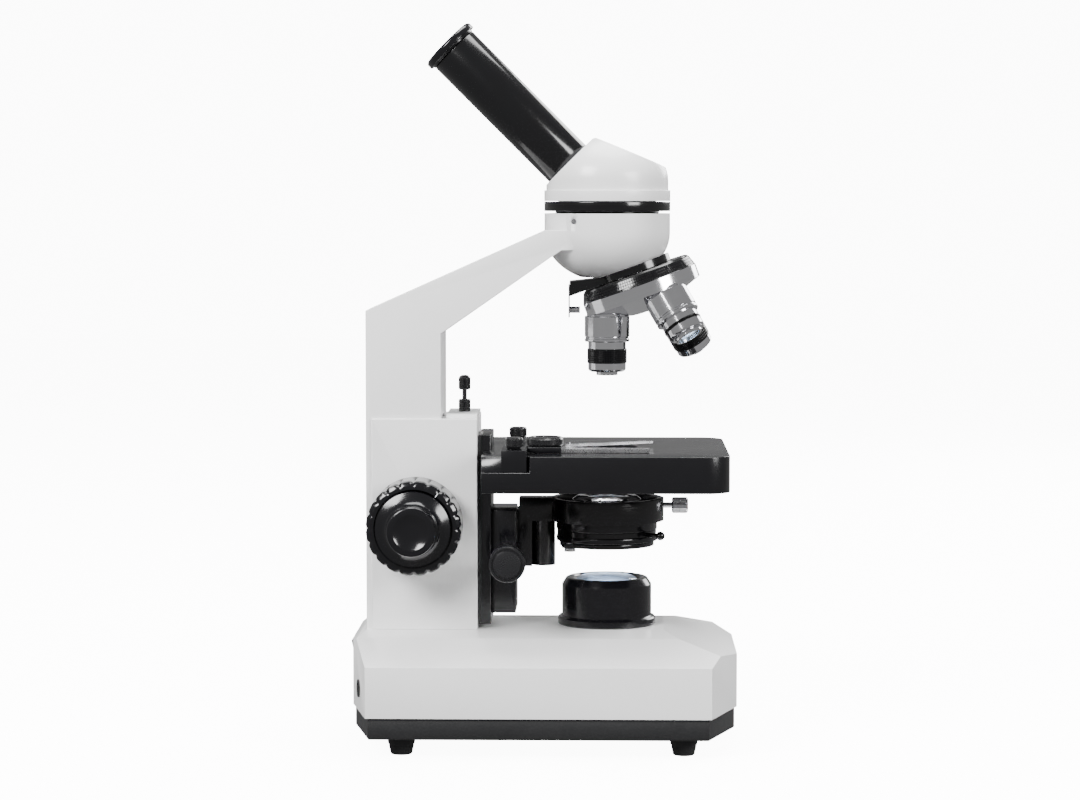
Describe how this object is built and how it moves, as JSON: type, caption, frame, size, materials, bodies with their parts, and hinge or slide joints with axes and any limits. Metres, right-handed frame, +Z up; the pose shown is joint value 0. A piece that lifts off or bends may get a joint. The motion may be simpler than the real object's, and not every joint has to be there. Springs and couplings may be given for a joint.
{
  "type": "monocular microscope",
  "caption": "Monocular compound microscope with inclined eyepiece, rotating nosepiece, mechanical stage, condenser and lamp base with coaxial focus knobs.",
  "frame": {"origin": "centre of the footprint, on the surface the feet stand on", "axes": "+X from the arm towards the stage and nosepiece, +Z up, +Y to the far side"},
  "size_m": [0.189, 0.142, 0.3499],
  "materials": {
    "white_enamel": "semi-gloss enamel with a fine orange peel",
    "black_plastic": "textured moulded plastic",
    "black_anodised": "satin black anodised",
    "stage_black": "satin black lacquer",
    "rubber": "matt",
    "chrome": "satin-turned chrome",
    "steel": "ground",
    "aluminium": "machined",
    "brass": "turned",
    "glass": "coated optical glass",
    "board": "solder-masked"
  },
  "bodies": {
    "stand": {"base_tray": "black_plastic", "rubber_feet": "rubber", "tray_screws": "steel", "base_shell": "white_enamel", "dc_inlet": "black_plastic", "switch_frame": "black_plastic", "lamp_heatsink": "aluminium", "lamp_led": "aluminium", "driver_board": "board", "collector_housing": "black_anodised", "collector_lens": "glass", "limb": "white_enamel", "limb_screws": "steel", "block_cover": "white_enamel", "stop_nut": "black_anodised", "bowl_ring": "black_anodised", "limb_small_screws": "steel", "focus_bushes": "brass", "focus_collars": "black_plastic", "nosepiece_plate": "black_anodised", "turret_axle": "steel", "detent_spring": "steel"},
    "switch": {"rocker_switch": "black_plastic"},
    "stop": {"stop_screw": "black_anodised"},
    "coarse_drive": {"coarse_shaft": "steel", "coarse_knobs": "black_plastic"},
    "fine_drive": {"fine_shaft": "steel", "fine_knobs": "black_plastic"},
    "slide": {"focus_slide": "aluminium", "focus_rack": "brass"},
    "stage_carrier": {"focus_rail": "stage_black", "condenser_carriage": "stage_black", "stage": "stage_black", "holder_guide": "stage_black", "holder_screws": "black_anodised"},
    "cross": {"cross_slide": "stage_black"},
    "cross_knob": {"holder_knob": "black_plastic"},
    "holder": {"slide_holder": "steel"},
    "finger": {"slide_finger": "steel"},
    "condenser": {"condenser_lift": "stage_black", "condenser_body": "black_anodised", "condenser_lens": "glass", "filter_pin": "steel"},
    "lift_drive": {"condenser_shaft": "steel", "condenser_knob": "black_plastic"},
    "iris": {"iris_lever": "black_anodised"},
    "clamp": {"condenser_screw": "chrome"},
    "filter": {"filter_holder": "black_anodised"},
    "turret": {"turret_grip_ring": "black_anodised", "turret_dome": "chrome", "objective_ten": "chrome", "objective_forty": "chrome", "objective_four": "chrome", "objective_lenses": "glass"},
    "head": {"head_housing": "white_enamel", "head_dovetail": "aluminium", "prism": "glass", "eyepiece_tube": "black_anodised"},
    "eyepiece": {"eyepiece_barrel": "black_anodised", "eyepiece_lenses": "glass"}
  },
  "joints": [
    {"name": "head_swivel", "type": "hinge", "parent": "stand", "child": "head", "pos_m": [0.0315, 0, 0.2575], "axis": [0, 0, 1], "continuous": true},
    {"name": "eyepiece_pull", "type": "slide", "parent": "head", "child": "eyepiece", "axis": [-0.7071, 0, 0.7071], "range_m": [0, 0.028]},
    {"name": "turret_turn", "type": "hinge", "parent": "stand", "child": "turret", "pos_m": [0.04689, 0, 0.22391], "axis": [0.342, 0, -0.9397], "continuous": true},
    {"name": "coarse_travel", "type": "slide", "parent": "stand", "child": "slide", "axis": [0, 0, 1], "range_m": [0, 0.0245]},
    {"name": "coarse_turn", "type": "hinge", "parent": "stand", "child": "coarse_drive", "pos_m": [-0.0605, 0, 0.1082], "axis": [0, -1, 0], "range_deg": [0, 251.67]},
    {"name": "fine_turn", "type": "hinge", "parent": "stand", "child": "fine_drive", "pos_m": [-0.0605, 0, 0.1082], "axis": [0, -1, 0], "range_deg": [-721, 721]},
    {"name": "fine_travel", "type": "slide", "parent": "slide", "child": "stage_carrier", "axis": [0, 0, 1], "range_m": [-0.001, 0.001]},
    {"name": "lift_travel", "type": "slide", "parent": "stage_carrier", "child": "condenser", "axis": [0, 0, 1], "range_m": [-0.012, 0]},
    {"name": "lift_turn", "type": "hinge", "parent": "stage_carrier", "child": "lift_drive", "pos_m": [-0.0157, 0, 0.0917], "axis": [0, -1, 0], "range_deg": [-172.89, 0]},
    {"name": "iris_swing", "type": "hinge", "parent": "condenser", "child": "iris", "pos_m": [0.0315, 0, 0.1], "axis": [0, 0, 1], "range_deg": [-55, 55]},
    {"name": "clamp_turn", "type": "hinge", "parent": "condenser", "child": "clamp", "pos_m": [0.0595, 0, 0.1142], "axis": [1, 0, 0], "continuous": true},
    {"name": "filter_swing", "type": "hinge", "parent": "condenser", "child": "filter", "pos_m": [0.0135, -0.014, 0.0946], "axis": [0, 0, 1], "range_deg": [-95, 0]},
    {"name": "cross_travel", "type": "slide", "parent": "stage_carrier", "child": "cross", "axis": [0, 1, 0], "range_m": [-0.006, 0.024]},
    {"name": "cross_knob_turn", "type": "hinge", "parent": "cross", "child": "cross_knob", "pos_m": [0.0018, -0.03, 0.1479], "axis": [0, 0, 1], "range_deg": [-86.9, 344.8]},
    {"name": "holder_travel", "type": "slide", "parent": "cross", "child": "holder", "axis": [1, 0, 0], "range_m": [0, 0.008]},
    {"name": "finger_swing", "type": "hinge", "parent": "holder", "child": "finger", "pos_m": [0.0131, -0.0235, 0.1454], "axis": [0, 0, 1], "range_deg": [0, 35], "stiffness_Nm_per_rad": 0.02, "springref_deg": -11.46},
    {"name": "switch_rock", "type": "hinge", "parent": "stand", "child": "switch", "pos_m": [-0.0907, 0, 0.0398], "axis": [0, 1, 0], "range_deg": [0, 13]},
    {"name": "stop_turn", "type": "hinge", "parent": "stand", "child": "stop", "pos_m": [-0.0385, 0, 0.1583], "axis": [0, 0, 1], "continuous": true}
  ],
  "couplings": [
    {"joint": "coarse_turn", "follows": "coarse_travel", "rad_per_m": 178.57},
    {"joint": "fine_turn", "follows": "fine_travel", "rad_per_m": 12566},
    {"joint": "lift_turn", "follows": "lift_travel", "rad_per_m": 250},
    {"joint": "cross_knob_turn", "follows": "cross_travel", "rad_per_m": 250}
  ]
}
